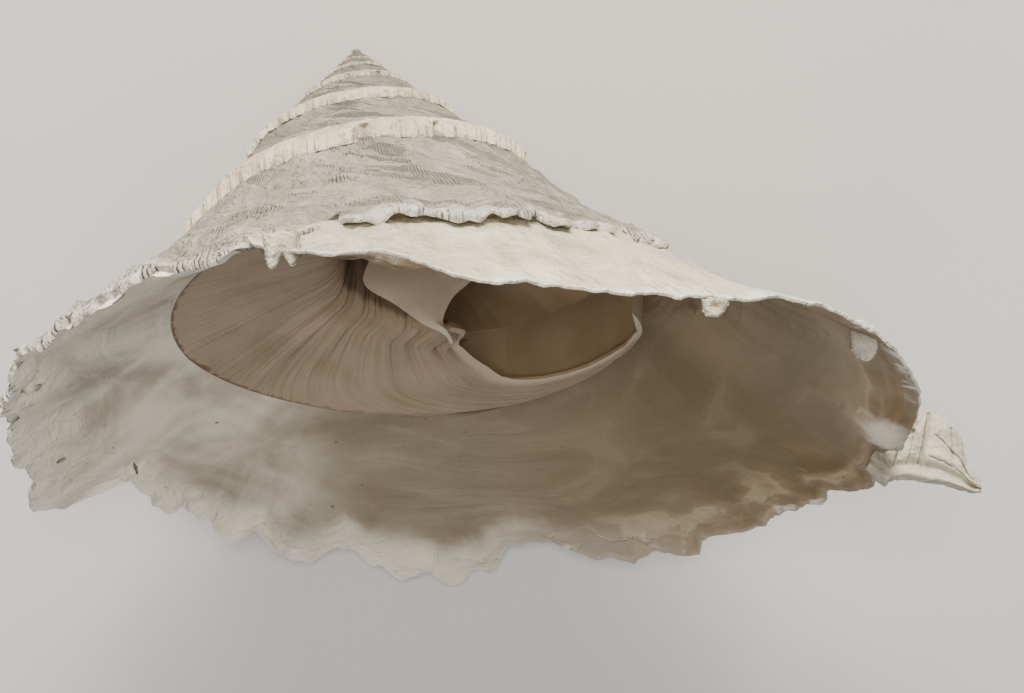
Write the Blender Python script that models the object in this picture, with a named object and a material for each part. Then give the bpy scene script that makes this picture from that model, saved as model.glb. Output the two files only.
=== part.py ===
"""A wide, low cone shell that carries bits of other shells, lying on the side of its spire.

The shell grew round one axis, so it is drawn in its own frame first, in millimetres: the
apex at the origin, the axis along Z with the base below, and the last lip reaching +X.
A turn number t says where along the growth a point lies: 0 at the last lip, -1 one turn
earlier, and up to LIP_REACH where the lip closes on the older flange. Everything older is
the same shape scaled down about the apex.
"""

import math

import bmesh
import bpy
from mathutils import Matrix, Vector, noise

MM = 0.001

# The spiral
WHORL_GROWTH = 1.758      # size gained in one turn
RIM_RADIUS = 90.0         # at t = 0
RIM_DROP = 85.3           # apex down to the rim at t = 0
LIP_REACH = 0.294
LIP_END = 0.292           # stops just short, so that the last step keeps some width
EDGE_THICKNESS = 1.8
OVERLAP_SINK = 0.5        # each turn starts this far inside the one it grew from
WALL = 2.2
SUTURE_IN = 0.92          # where the next roof leaves the older flange, as a share of its radius
ROOF_SAG = 0.040
LOBE_SLOPE = 0.45

# The underside, as shares of the size at t = 0
SEAM_RADIUS = 50.2
SEAM_DROP = 68.3
BASE_PROFILE = [(50.2, 68.3), (44.0, 66.6), (36.0, 64.4), (27.0, 62.0), (18.0, 59.8),
                (12.0, 58.0), (8.5, 55.0), (6.6, 49.0), (5.6, 41.0), (5.2, 31.0)]
BASE_THICKNESS = 1.5
CORE_PROFILE = [(0.4, 0.0), (0.9, 0.4), (0.8, 1.2), (0.9, 3.0), (2.2, 16.0), (4.0, 30.0)]
CORE_SIDES = 10

# Lip margin past the end of the last turn: turn, radius, drop
LIP_MARGIN = [(0.0, 90.0, 85.0), (0.033, 92.0, 83.0), (0.061, 90.5, 79.5), (0.089, 85.0, 76.6),
              (0.117, 79.5, 76.6), (0.147, 76.0, 76.8), (0.181, 74.0, 76.2), (0.214, 73.5, 74.8),
              (0.244, 73.5, 71.6), (0.267, 70.5, 67.8), (0.284, 64.0, 63.4), (0.294, 57.5, 59.8)]
# How much lower than the plain spiral the rim hangs: turn, drop
RIM_HANG = [(-1.10, 0.0), (-1.0, -2.0), (-0.95, 2.0), (-0.85, 3.5), (-0.75, 3.0), (-0.60, 2.0),
            (-0.50, 1.0), (-0.42, 0.5), (-0.33, 1.5), (-0.25, 4.0), (-0.14, 5.0), (-0.07, 2.5),
            (0.0, 0.0)]
# Where the older turn bent inwards: turn, share of the plain spiral's radius
RIM_DRAWN_IN = [(-1.85, 1.0), (-1.72, 0.97), (-1.62, 0.90), (-1.52, 0.86), (-1.42, 0.88),
                (-1.32, 0.94), (-1.22, 1.0)]
# Near the mouth the base closes in and rises to meet the lip: turn, inwards, upwards
SEAM_DRAWN_IN = [(-0.20, 0.0, 0.0), (-0.12, 1.0, 0.5), (-0.04, 3.5, 2.0), (0.02, 4.5, 3.5),
                 (0.085, 5.0, 6.0)]
# Lobes and bays of the broken rim: turn, reach past the plain spiral
RIM_LOBES = [(-1.10, 0.0), (-0.56, 0.0), (-0.50, 1.0), (-0.455, 3.0), (-0.43, 7.0), (-0.415, 5.0),
             (-0.400, -4.0), (-0.385, -3.0), (-0.355, -2.5), (-0.340, 0.5), (-0.325, -2.0),
             (-0.305, 6.0), (-0.298, 5.0), (-0.285, -1.5), (-0.272, 1.5), (-0.260, 4.5),
             (-0.250, 2.5), (-0.236, 4.5), (-0.224, 4.0), (-0.216, -1.5), (-0.204, -3.5),
             (-0.190, -1.0), (-0.164, 3.0), (-0.148, 1.0), (-0.139, 4.0), (-0.124, 0.5),
             (-0.108, 2.5), (-0.088, -1.0), (-0.060, -1.0), (-0.037, 1.5), (0.0, 0.0)]
# Free edge of the base at the mouth: share of the way from the umbilicus to the seam, turn
MOUTH_EDGE = [(0.0, 0.05), (0.10, -0.05), (0.18, -0.115), (0.30, -0.135), (0.50, -0.138),
              (0.66, -0.125), (0.78, -0.06), (0.92, 0.045), (1.0, 0.085)]

# Inner lip, a sheet that spreads over the umbilicus: right, front and down from the apex, first
# along its free edge at the umbilicus, then along the mouth
INNER_LIP = [((0.5, 3.0, 33.0), (27.0, 8.0, 37.0)), ((-0.6, 3.0, 42.5), (21.5, 6.5, 46.5)),
             ((-2.3, 2.4, 47.8), (16.9, 5.2, 50.6)), ((2.9, 2.4, 52.4), (13.4, 4.6, 53.2)),
             ((7.4, 3.2, 56.9), (11.2, 4.2, 57.2)), ((10.9, 3.9, 59.6), (12.9, 3.9, 59.8))]
INNER_LIP_THICKNESS = 1.5
FAN_START = -0.30         # from here the rows of the base swing round to its free edge

# Sampling
STEPS_PER_TURN = 72
BASE_STEPS_PER_TURN = 36
SPIRE_STEPS_PER_TURN = 30
OLD_WHORLS = 6
TRIANGLES_KEPT = 0.68

# The carried pieces, each drawn in millimetres to the right of, above and in front of its
# anchor, seen by someone who looks into the mouth
SIGHT_RIGHT = Vector((0.9938, 0.0365, -0.1053))
SIGHT_UP = Vector((0.1114, -0.3259, 0.9388))
SIGHT_FRONT = Vector((0.0, -0.9447, -0.3279))
SEAT_GAP = 0.3
SHARD_ANCHOR = Vector((95.0, 12.2, -86.4))
# Bands of the big shard: top (right, up), bottom (right, up), front
SHARD_BANDS = [((-5.6, 5.6), (-10.6, -3.4), -0.6), ((-3.7, 7.2), (-7.6, -6.7), 1.9),
               ((-3.0, 6.9), (-6.2, -5.7), 0.2), ((-1.4, 6.6), (-4.4, -5.4), 1.1),
               ((0.1, 6.7), (-2.4, -5.5), 0.3), ((1.2, 7.1), (-0.9, -5.8), 2.2),
               ((3.9, 5.4), (2.4, -6.2), 1.7), ((6.6, 2.2), (6.2, -7.2), 0.9),
               ((7.4, -1.8), (8.6, -7.9), 0.2), ((10.1, -5.2), (10.2, -7.7), -0.3)]
SHARD_THICKNESS = 2.6
PLATE_ANCHOR = Vector((80.6, -31.6, -78.9))
PLATE_ROWS = [((-2.3, 1.9), (-2.2, -1.6)), ((-1.4, 3.3), (-1.2, -2.7)), ((0.2, 3.2), (0.3, -3.4)),
              ((1.5, 2.3), (1.6, -2.6)), ((2.3, 0.9), (2.2, -0.9))]
FRILL_ANCHOR = Vector((-9.7, -70.8, -67.2))
FRILL_ROWS = [((-3.0, 2.2), (-2.6, -1.2)), ((-2.2, 2.3), (-1.9, -2.9)), ((-1.0, 2.4), (-0.9, -2.8)),
              ((0.2, 2.5), (0.1, -1.0)), ((1.2, 2.6), (1.5, -2.7)), ((2.4, 2.6), (2.9, -1.2))]
BIT_ANCHOR = Vector((54.6, -57.2, -79.0))
BIT_ROWS = [((-1.9, 0.8), (-1.7, -1.0)), ((-0.8, 1.2), (-1.0, -1.7)), ((0.4, 1.1), (0.4, -1.8)),
            ((1.4, 1.2), (1.3, -1.2)), ((2.2, 0.9), (2.1, 0.0))]

# Resting pose: which way is up, in the shell's own frame, as it lies on the side of its spire
# and two lobes of the far rim, and how much is worn flat where it touches
REST_UP = Vector((-0.07, -0.69, -0.72))
WORN_FLAT = 0.8


def between(table, x, column=1):
    """Value at x in a table of rows, straight between its rows."""
    if x <= table[0][0]:
        return table[0][column]
    for low, high in zip(table, table[1:]):
        if x <= high[0]:
            share = (x - low[0]) / (high[0] - low[0])
            return low[column] + share * (high[column] - low[column])
    return table[-1][column]


def smooth(x):
    x = min(1.0, max(0.0, x))
    return x * x * (3.0 - 2.0 * x)


def scale_at(turn):
    return WHORL_GROWTH ** turn


def rim(turn):
    """Radius and drop of the outer edge."""
    if turn > 0.0:
        return between(LIP_MARGIN, turn, 1), between(LIP_MARGIN, turn, 2)
    size = scale_at(turn)
    drawn = between(RIM_DRAWN_IN, turn) if turn > RIM_DRAWN_IN[0][0] else 1.0
    return RIM_RADIUS * size * drawn, RIM_DROP * size + between(RIM_HANG, turn)


def lobe(turn, share):
    """How far the broken edge reaches past the plain rim, felt only in the outer flange."""
    if turn > 0.0:
        return 0.0
    ripple = (noise.noise(Vector((turn * 19.0, 3.1, 0.0))) * 1.8
              + noise.noise(Vector((turn * 47.0, 9.4, 0.0))) * 1.4) * scale_at(turn)
    return (between(RIM_LOBES, turn) + ripple) * smooth((share - 0.5) / 0.5)


def suture(turn):
    """Where the roof leaves the flange one turn older."""
    radius, drop = rim(turn - 1.0)
    return radius * SUTURE_IN, drop - radius * (1.0 - SUTURE_IN) * 0.42 + 0.6 * scale_at(turn)


def roof(turn, share):
    """Upper surface, from the suture (0) to the rim (1)."""
    (r0, d0), (r1, d1) = suture(turn), rim(turn)
    r = r0 + (r1 - r0) * share
    sag = ROOF_SAG * (r1 - r0) * 4.0 * share * (1.0 - share) * (2.0 - 1.3 * smooth((turn + 0.1) / 0.2))
    lumps = noise.noise(Vector((turn * 9.0, share * 3.0, 7.7))) * 1.1 * scale_at(turn)
    reach = lobe(turn, share)
    drop = d0 + (d1 - d0) * share + sag + lumps * share * (1.0 - share) * 2.0
    return r + reach, drop + reach * LOBE_SLOPE


def seam(turn):
    size = scale_at(turn)
    radius = SEAM_RADIUS * size - between(SEAM_DRAWN_IN, turn, 1)
    return radius, SEAM_DROP * size + between(RIM_HANG, turn) * 0.4 - between(SEAM_DRAWN_IN, turn, 2)


def seam_share(turn):
    """How far along the roof the base meets it."""
    r0, r1 = suture(turn)[0], rim(turn)[0]
    return min(0.5, max(0.03, (seam(turn)[0] - r0) / max(1.0, r1 - r0)))


def under(turn, share):
    """Lower surface of the roof and flange: thick behind the lip, thin at its edge."""
    r, top = roof(turn, share)
    r_rim, d_rim = rim(turn)
    r_seam, d_seam = seam(turn)
    reach = lobe(turn, share)
    edge = d_rim + EDGE_THICKNESS
    thin = top + EDGE_THICKNESS + (WALL - EDGE_THICKNESS) * (1.0 - share)
    slope = (edge - d_seam) / max(8.0, r_rim - r_seam)
    full = edge - slope * (r_rim - r + reach) + reach * LOBE_SLOPE
    if share < seam_share(turn) - 0.001:
        full = thin
    filled = smooth((0.05 - turn) / 0.30)
    return r, max(thin, thin + (full - thin) * filled)


def place(turn, radius, drop):
    angle = -2.0 * math.pi * turn
    return Vector((radius * math.cos(angle), radius * math.sin(angle), -drop)) * MM


def closed_grid(name, rows, close_ends=True):
    """A closed body from rows of points, each row a closed loop, its two ends capped."""
    mesh = bmesh.new()
    loops = [[mesh.verts.new(point) for point in row] for row in rows]
    for first, second in zip(loops, loops[1:]):
        count = len(first)
        for i in range(count):
            j = (i + 1) % count
            mesh.faces.new((first[i], first[j], second[j], second[i]))
    if close_ends:
        mesh.faces.new(loops[0][::-1])
        mesh.faces.new(loops[-1])
    bmesh.ops.remove_doubles(mesh, verts=mesh.verts, dist=1e-6)
    bmesh.ops.triangulate(mesh, faces=mesh.faces)
    bmesh.ops.recalc_face_normals(mesh, faces=mesh.faces)
    data = bpy.data.meshes.new(name)
    mesh.to_mesh(data)
    mesh.free()
    made = bpy.data.objects.new(name, data)
    bpy.context.scene.collection.objects.link(made)
    return made


def turns(first, last, per_turn):
    count = max(2, math.ceil((last - first) * per_turn))
    return [first + (last - first) * i / count for i in range(count + 1)]


def roof_sheet(first, last, grow=0.0):
    """Part of the last turn's roof and flange, or of the lip that closes on the older flange.

    grow makes it that much thicker all round, as the cutter that seats a carried piece.
    """
    shares = [0.0, 0.18, 0.38, 0.60, 0.80, 1.0]
    rows = []
    for turn in turns(first, last, STEPS_PER_TURN):
        met = seam_share(turn)
        low_shares = [1.0, 0.85, 0.65, 0.45, 0.22]
        low_shares = [met + (1.0 - met) * share for share in low_shares] + [met, met - 0.012, 0.0]
        sunk = OVERLAP_SINK if turn < -1.0 else 0.0
        row = []
        for surface, list_of, lift in ((roof, shares, sunk - grow), (under, low_shares, grow - sunk)):
            for share in list_of:
                radius, drop = surface(turn, share)
                row.append(place(turn, radius + (grow - sunk) * share, drop + lift))
        rows.append(row)
    return closed_grid("roof_sheet", rows)


def buried(turn):
    """A point inside the roof's wall just outside the seam, where the base is rooted."""
    r0, r1 = suture(turn)[0], rim(turn)[0]
    radius = seam(turn)[0] + 2.4 * scale_at(turn)
    share = (radius - r0) / (r1 - r0)
    return place(turn, radius, under(turn, share)[1] - 0.9)


def base_sheet(half):
    """Half of the concave base and umbilicus wall; the second ends in the free edge at the mouth."""
    rows = []
    straight = math.ceil((FAN_START + 1.04) * BASE_STEPS_PER_TURN)
    count = straight + 10
    profile = BASE_PROFILE
    outer, inner = profile[0][0], profile[5][0]
    steps = range(0, straight // 2 + 1) if half == 0 else range(straight // 2 - 1, count + 1)
    for i in steps:
        low, high = [], []
        for n, (r, d) in enumerate(profile):
            share = min(1.0, max(0.0, (r - inner) / (outer - inner)))
            if i < straight:
                turn = -1.04 + (FAN_START + 1.04) * i / straight
            else:
                along = (i - straight) / (count - straight)
                turn = FAN_START + (between(MOUTH_EDGE, share) - FAN_START) * along
            size = scale_at(turn)
            hang = (between(RIM_HANG, turn) * 0.4 - between(SEAM_DRAWN_IN, turn, 2) * share) * share
            drawn = between(SEAM_DRAWN_IN, turn, 1) * share * share
            lift = BASE_THICKNESS if n < 6 else 0.4
            grow = 0.0 if n < 5 else 1.4
            if n == 0:
                low.append(buried(turn))
            low.append(place(turn, r * size - drawn, d * size + hang))
            high.append(place(turn, r * size - drawn + grow, d * size + hang - lift))
        rows.append(low + high[::-1])
    return closed_grid("base_sheet", rows)


def inner_lip():
    """The sheet between the umbilicus and the mouth, rooted in the turn above."""
    rows = []
    for (x0, y0, z0), (x1, y1, z1) in INNER_LIP:
        front = []
        for share in (0.0, 0.35, 0.7, 1.0):
            bulge = 1.2 * math.sin(math.pi * share)
            front.append(Vector((x0 + (x1 - x0) * share, -(y0 + (y1 - y0) * share) - bulge,
                                 -(z0 + (z1 - z0) * share))) * MM)
        back = [point + Vector((0.0, INNER_LIP_THICKNESS, 0.0)) * MM for point in reversed(front)]
        rows.append(front + back)
    return closed_grid("inner_lip", rows)


def old_whorl(index, half):
    """Half of an older turn, solid to the axis and stepped out over the turn before it."""
    first = -index - 1.05 + 0.5 * half
    last = -index - 0.5 + 0.5 * half
    shares = [0.0, 0.3, 0.65, 1.0]
    rows = []
    for turn in turns(first, last, SPIRE_STEPS_PER_TURN / (0.7 + 0.3 * index)):
        size = scale_at(turn)
        sunk = OVERLAP_SINK * size if turn < -index - 1.0 else 0.0
        line = []
        for share in shares:
            radius, drop = roof(turn, share)
            line.append(place(turn, radius - sunk * share, drop + sunk))
        r_rim, d_rim = roof(turn, 1.0)
        edge = d_rim + EDGE_THICKNESS * max(0.5, size) - sunk
        line.append(place(turn, r_rim - 0.3 * size - sunk, edge))
        line += [place(turn, r * size, d * size - sunk) for r, d in (BASE_PROFILE[0], BASE_PROFILE[3])]
        line.append(place(turn, 2.0 * size, BASE_PROFILE[4][1] * size * 0.9))
        line.append(place(turn, 2.0 * size, suture(turn)[1] * 0.8))
        rows.append(line)
    return closed_grid("whorl_%d" % index, rows)


def core():
    """The solid middle that the older turns wind round, with the tiny first shell on top."""
    rows = []
    for radius, drop in CORE_PROFILE:
        rows.append([place(i / CORE_SIDES, radius, drop) for i in range(CORE_SIDES)])
    return closed_grid("core", rows)


def joined(base, others, operation="UNION"):
    """Runs the Booleans and keeps the result in base."""
    for other in others:
        change = base.modifiers.new("join", "BOOLEAN")
        change.operation = operation
        change.solver = "MANIFOLD"
        change.object = other
        graph = bpy.context.evaluated_depsgraph_get()
        made = bpy.data.meshes.new_from_object(base.evaluated_get(graph))
        base.modifiers.clear()
        base.data = made
        bpy.data.objects.remove(other)
    return base


def plate(name, anchor, rows, thickness):
    """A broken piece from rows of points given as right, up and front of its anchor."""
    loops = []
    for row in rows:
        front = [anchor + SIGHT_RIGHT * x + SIGHT_UP * y + SIGHT_FRONT * z for x, y, z in row]
        back = [point - SIGHT_FRONT * thickness for point in reversed(front)]
        loops.append([point * MM for point in front + back])
    return closed_grid(name, loops)


def strips(rows, bulge, count=3):
    """Points down each strip between its two ends, bulging forward in the middle."""
    made = []
    for n, ((x0, y0), (x1, y1)) in enumerate(rows):
        across = math.sin(math.pi * (n + 0.5) / len(rows))
        row = []
        for i in range(count):
            share = i / (count - 1)
            forward = bulge * across * math.sin(math.pi * (0.15 + 0.7 * share))
            row.append((x0 + (x1 - x0) * share, y0 + (y1 - y0) * share, forward))
        made.append(row)
    return made


def shard_rows():
    """The big shard: two grooved bands, a cracked plate and a gutter along its lower edge."""
    rows = []
    for (x0, y0), (x1, y1), front in SHARD_BANDS:
        row = []
        for share, extra in ((0.0, -0.5), (0.4, 0.2), (0.68, 0.0), (0.78, -1.1), (0.90, 0.9), (1.0, -0.4)):
            row.append((x0 + (x1 - x0) * share, y0 + (y1 - y0) * share, front + extra))
        rows.append(row)
    return rows


def carried_pieces():
    pieces = [plate("shell_shard", SHARD_ANCHOR, shard_rows(), SHARD_THICKNESS),
              plate("lip_plate", PLATE_ANCHOR, strips(PLATE_ROWS, 0.5), 1.1),
              plate("frill_bit", FRILL_ANCHOR, strips(FRILL_ROWS, 1.2), 1.3),
              plate("margin_bit", BIT_ANCHOR, strips(BIT_ROWS, 0.8), 1.8)]
    for piece in pieces:
        joined(piece, [roof_sheet(-0.30, LIP_END, SEAT_GAP), roof_sheet(-0.98, -0.60, SEAT_GAP)],
               "DIFFERENCE")
        keep_largest(piece)
    return pieces


def keep_largest(piece):
    """Drops the offcuts that seating a piece leaves on the far side of the wall."""
    mesh = bmesh.new()
    mesh.from_mesh(piece.data)
    left, islands = set(mesh.verts), []
    while left:
        island, edge_of = set(), [left.pop()]
        while edge_of:
            vert = edge_of.pop()
            island.add(vert)
            near = {e.other_vert(vert) for e in vert.link_edges} & left
            left -= near
            edge_of += near
        islands.append(island)
    islands.sort(key=len)
    for island in islands[:-1]:
        bmesh.ops.delete(mesh, geom=list(island), context="VERTS")
    mesh.to_mesh(piece.data)
    mesh.free()


def thinned(made, ratio):
    """Fewer triangles in the same shape."""
    fewer = made.modifiers.new("fewer", "DECIMATE")
    fewer.ratio = ratio
    graph = bpy.context.evaluated_depsgraph_get()
    data = bpy.data.meshes.new_from_object(made.evaluated_get(graph))
    made.modifiers.clear()
    made.data = data


def lay_down(objects):
    """Turns every piece to the resting pose, sets the lowest point on the ground, wears it flat."""
    up = REST_UP.normalized()
    ahead = (Vector((1.0, 0.0, 0.0)) - up * up.x).normalized()
    side = up.cross(ahead)
    turned = Matrix((ahead, side, up)).to_4x4()
    for made in objects:
        made.data.transform(turned)
    points = [v.co for made in objects for v in made.data.vertices]
    low = [min(p[n] for p in points) for n in range(3)]
    high = [max(p[n] for p in points) for n in range(3)]
    shift = Vector((-(low[0] + high[0]) / 2, -(low[1] + high[1]) / 2, -low[2] - WORN_FLAT * MM))
    print("resting shift, metres:", *(round(value, 6) for value in shift))
    for made in objects:
        made.data.transform(Matrix.Translation(shift))
        mesh = bmesh.new()
        mesh.from_mesh(made.data)
        if min(v.co.z for v in mesh.verts) < 0.0:
            cut = bmesh.ops.bisect_plane(mesh, geom=mesh.verts[:] + mesh.edges[:] + mesh.faces[:],
                                         plane_co=(0, 0, 0), plane_no=(0, 0, 1), clear_inner=True)
            edges = [e for e in cut["geom_cut"] if isinstance(e, bmesh.types.BMEdge)]
            bmesh.ops.holes_fill(mesh, edges=edges)
            bmesh.ops.triangulate(mesh, faces=mesh.faces)
        mesh.to_mesh(made.data)
        mesh.free()


def material(name, colour, roughness):
    made = bpy.data.materials.new(name)
    made.use_nodes = True
    shader = made.node_tree.nodes["Principled BSDF"]
    shader.inputs["Base Color"].default_value = (*colour, 1.0)
    shader.inputs["Roughness"].default_value = roughness
    shader.inputs["Metallic"].default_value = 0.0
    return made


def build():
    for found in list(bpy.data.objects):
        bpy.data.objects.remove(found)
    shell = roof_sheet(-0.50, LIP_END)
    joined(shell, [roof_sheet(-1.06, -0.49)])
    for index in range(1, OLD_WHORLS + 1):
        joined(shell, [old_whorl(index, 1), old_whorl(index, 0)])
    joined(shell, [core(), base_sheet(1), base_sheet(0), inner_lip()])
    shell.name = "shell"
    thinned(shell, TRIANGLES_KEPT)
    pieces = carried_pieces()
    lay_down([shell] + pieces)
    finish = material("shell", (0.80, 0.76, 0.70), 0.45)
    for made in [shell] + pieces:
        made.data.materials.clear()
        made.data.materials.append(finish)


build()
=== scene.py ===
import math

import bpy
import numpy as np
from mathutils import Matrix, Vector, noise


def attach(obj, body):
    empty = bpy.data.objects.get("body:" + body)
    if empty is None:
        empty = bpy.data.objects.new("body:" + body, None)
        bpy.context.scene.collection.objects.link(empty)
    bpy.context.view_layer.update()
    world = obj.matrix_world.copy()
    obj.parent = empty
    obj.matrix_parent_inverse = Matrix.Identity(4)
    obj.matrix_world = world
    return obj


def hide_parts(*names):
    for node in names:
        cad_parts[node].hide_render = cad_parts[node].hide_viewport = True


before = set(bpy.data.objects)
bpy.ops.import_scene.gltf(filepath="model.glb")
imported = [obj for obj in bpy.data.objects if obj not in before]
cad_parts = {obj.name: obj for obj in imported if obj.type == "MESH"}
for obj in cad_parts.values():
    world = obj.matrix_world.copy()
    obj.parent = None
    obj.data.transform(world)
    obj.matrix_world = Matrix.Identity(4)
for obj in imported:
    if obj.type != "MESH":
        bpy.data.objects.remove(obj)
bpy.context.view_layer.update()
print("frame loaded")


def deselectAll():
    if bpy.context.mode != "OBJECT":
        bpy.ops.object.mode_set(mode="OBJECT")
    bpy.ops.object.select_all(action="DESELECT")


def ease(x):
    x = np.clip(x, 0.0, 1.0)
    return x * x * (3.0 - 2.0 * x)


def along(table, x, column=1):   # straight between the rows
    rows = np.array(table)
    return np.interp(x, rows[:, 0], rows[:, column])


def softAlong(table, x, column=1):   # a smooth curve through the rows
    rows = np.array(table)
    xs, ys = rows[:, 0], rows[:, column]
    slopes = np.gradient(ys, xs)
    x = np.clip(x, xs[0], xs[-1])
    n = np.clip(np.searchsorted(xs, x) - 1, 0, len(xs) - 2)
    width = xs[n + 1] - xs[n]
    s = (x - xs[n]) / width
    a, b = ys[n], ys[n + 1]
    return (a * (1 + 2 * s) * (1 - s) ** 2 + b * s * s * (3 - 2 * s)
            + width * (slopes[n] * s * (1 - s) ** 2 - slopes[n + 1] * s * s * (1 - s)))


def spread(rows, places):   # each column of a table, smoothly, at places from 0 to 1 down its rows
    walk = np.linspace(0.0, 1.0, len(rows))
    return [softAlong(np.column_stack([walk, column]), places) for column in np.array(rows).T]


def grain(x, y, z=0.0):   # smooth noise, about -1 to 1, at whole arrays of places
    x, y, z = np.broadcast_arrays(x, y, z)
    spots = zip(x.ravel().tolist(), y.ravel().tolist(), z.ravel().tolist())
    return np.array([noise.noise(spot) for spot in spots]).reshape(x.shape)


# In millimetres, apex at the origin, axis along Z with the base below. A turn number says where
# along the growth a place lies: 0 at the last lip's far end, -1 one turn older.

spiral = {
    "growth": 1.758, "rimRadius": 90.0, "rimDrop": 85.3,
    "sutureIn": 0.92, "sutureSink": 0.6, "flangeSlope": 0.42, "sag": 0.040, "lobeSlope": 0.45,
    "seamRadius": 50.2, "seamDrop": 68.3, "edge": 1.8, "wall": 2.2, "lipThinned": 1.15,
    "lipEnd": 0.292,
    "lipMargin": [(0.0, 90.0, 85.0), (0.033, 92.0, 83.0), (0.061, 90.5, 79.5), (0.089, 85.0, 76.6),
                  (0.117, 79.5, 76.6), (0.147, 76.0, 76.8), (0.181, 74.0, 76.2),
                  (0.214, 73.5, 74.8), (0.244, 73.5, 71.6), (0.267, 70.5, 67.8),
                  (0.284, 64.0, 63.4), (0.294, 57.5, 59.8)],
    "rimHang": [(-1.10, 0.0), (-1.0, -2.0), (-0.95, 2.0), (-0.85, 3.5), (-0.75, 3.0), (-0.60, 2.0),
                (-0.50, 1.0), (-0.42, 0.5), (-0.33, 1.5), (-0.25, 4.0), (-0.14, 5.0), (-0.07, 2.5),
                (0.0, 0.0)],
    "rimLobes": [(-1.10, 0.0), (-0.56, 0.0), (-0.50, 1.0), (-0.455, 3.0), (-0.43, 7.0),
                 (-0.415, 5.0), (-0.400, -4.0), (-0.385, -3.0), (-0.355, -2.5), (-0.340, 0.5),
                 (-0.325, -2.0), (-0.305, 6.0), (-0.298, 5.0), (-0.285, -1.5), (-0.272, 1.5),
                 (-0.260, 4.5), (-0.250, 2.5), (-0.236, 4.5), (-0.224, 4.0), (-0.216, -1.5),
                 (-0.204, -3.5), (-0.190, -1.0), (-0.164, 3.0), (-0.148, 1.0), (-0.139, 4.0),
                 (-0.124, 0.5), (-0.108, 2.5), (-0.088, -1.0), (-0.060, -1.0), (-0.037, 1.5),
                 (0.0, 0.0)],
    "rimDrawnIn": [(-1.85, 1.0), (-1.72, 0.97), (-1.62, 0.90), (-1.52, 0.86), (-1.42, 0.88),
                   (-1.32, 0.94), (-1.22, 1.0)],
    "seamDrawnIn": [(-0.45, 0.0, 0.0), (-0.30, 1.5, 0.8), (-0.20, 4.0, 2.0), (-0.12, 6.0, 3.0),
                    (-0.04, 6.5, 4.0), (0.02, 4.5, 4.5), (0.085, 3.5, 5.5)],
    "baseProfile": [(50.2, 68.3), (44.0, 66.6), (36.0, 64.4), (27.0, 62.0), (18.0, 59.8),
                    (12.0, 58.0), (8.5, 55.0), (6.6, 49.0), (5.6, 41.0), (5.2, 31.0)],
    "mouthEdge": [(0.0, 0.05), (0.10, -0.05), (0.18, -0.115), (0.30, -0.135), (0.50, -0.140),
                  (0.66, -0.135), (0.78, -0.10), (0.88, -0.045), (0.95, 0.015), (1.0, 0.07)],
}

# How it lies: the shell's own directions in the room, and where its apex comes
restUp = Vector((-0.07, -0.69, -0.72)).normalized()
restAhead = (Vector((1.0, 0.0, 0.0)) - restUp * restUp.x).normalized()
restTurn = Matrix((restAhead, restUp.cross(restAhead), restUp))
restShift = Vector((-0.019923, 0.054680, -0.000478))


metresPerMillimetre = 0.001


def toRoom(points):   # millimetres on the shell to metres in the room
    return points @ np.array(restTurn).T * metresPerMillimetre + np.array(restShift)


def spotInRoom(place):
    return tuple(toRoom(np.array([place]))[0])


def sizeAt(turn):
    return spiral["growth"] ** turn


def rimAt(turn):
    bent = spiral["rimDrawnIn"]
    drawn = np.where(turn > bent[0][0], softAlong(bent, turn), 1.0)
    radius = spiral["rimRadius"] * sizeAt(turn) * drawn
    drop = spiral["rimDrop"] * sizeAt(turn) + softAlong(spiral["rimHang"], turn)
    onLip = turn > 0.0
    return (np.where(onLip, softAlong(spiral["lipMargin"], turn, 1), radius),
            np.where(onLip, softAlong(spiral["lipMargin"], turn, 2), drop))


def lobeAt(turn, share):   # how far the broken edge reaches past the plain rim
    ripple = (grain(turn * 19.0, 3.1) * 1.8 + grain(turn * 47.0, 9.4) * 1.4) * sizeAt(turn)
    crumbs = grain(turn * 170.0, 5.2) * 0.9 + grain(turn * 420.0, 8.7) * 0.5
    reach = (along(spiral["rimLobes"], turn) + ripple) * ease((share - 0.5) / 0.5)
    ledge = ease((-0.66 - turn) / 0.03) * sizeAt(turn + 0.7)
    torn = (grain(turn * 60.0, 12.1) * 1.6 + grain(turn * 170.0, 15.3) * 1.5
            + grain(turn * 400.0, 2.3) * 0.7)
    torn = torn - np.maximum(0.0, grain(turn * 75.0, 21.5) - 0.12) * 7.0
    teeth = np.abs(grain(turn * 52.0, 44.0)) * 4.4 - 1.2 + grain(turn * 130.0, 48.0) * 0.9
    teeth = teeth * ease((turn + 0.60) / 0.08) * ease((0.0 - turn) / 0.03)
    reach = reach + (crumbs * 1.2 + teeth + torn * ledge) * ease((share - 0.86) / 0.14)
    frill = ease((turn - 0.235) / 0.03) * (grain(turn * 95.0, 27.0) * 4.0 + 1.0)
    waves = grain(turn * 34.0, 18.4) * 1.6 + crumbs * 0.5 + frill
    return np.where(turn > 0.0, waves * ease((share - 0.80) / 0.20), reach)


def curlAt(turn, share):   # the thin edge curls up and down between its teeth
    bend = grain(turn * 22.0, 31.0) * 2.4 + grain(turn * 70.0, 37.0) * 1.3
    return (bend * ease((share - 0.80) / 0.20) * ease((turn + 0.66) / 0.06)
            * ease((0.02 - turn) / 0.05))


def sutureAt(turn):   # where the roof leaves the flange one turn older
    radius, drop = rimAt(turn - 1.0)
    inner = spiral["sutureIn"]
    rise = radius * (1.0 - inner) * spiral["flangeSlope"]
    return radius * inner, drop - rise + spiral["sutureSink"] * sizeAt(turn)


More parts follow.
